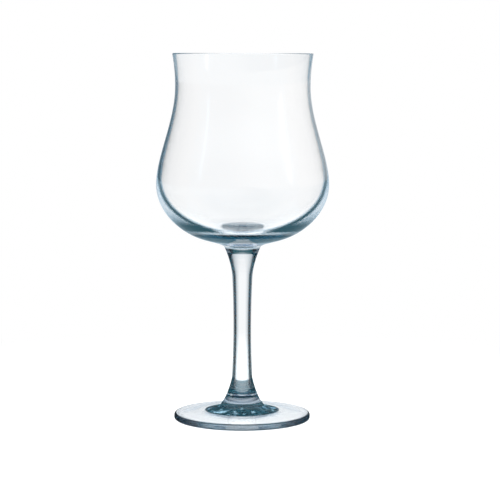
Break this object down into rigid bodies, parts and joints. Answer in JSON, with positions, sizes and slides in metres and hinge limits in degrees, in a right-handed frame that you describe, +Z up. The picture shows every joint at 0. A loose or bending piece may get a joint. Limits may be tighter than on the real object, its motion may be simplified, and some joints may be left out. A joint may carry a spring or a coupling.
{
  "type": "wine glass",
  "caption": "Clear tulip wine glass: thin blown bowl with a round belly, drawn-in waist and flared lip, on a solid waisted stem and a shallow dished foot, fused at welds.",
  "frame": {"origin": "on the table, in the middle of the ring that the foot rests on", "axes": "+Z up the axis of the glass, from the foot to the lip; the glass is round, so X and Y are alike"},
  "size_m": [0.087, 0.087, 0.185],
  "materials": {
    "blown_glass": "fire-polished blown soda-lime glass, colourless and mirror smooth",
    "pressed_glass": "fire-polished pressed soda-lime glass, faintly teal where it is thick"
  },
  "bodies": {
    "root": {"bowl": "blown_glass", "stem": "pressed_glass", "foot": "pressed_glass"}
  },
  "joints": []
}
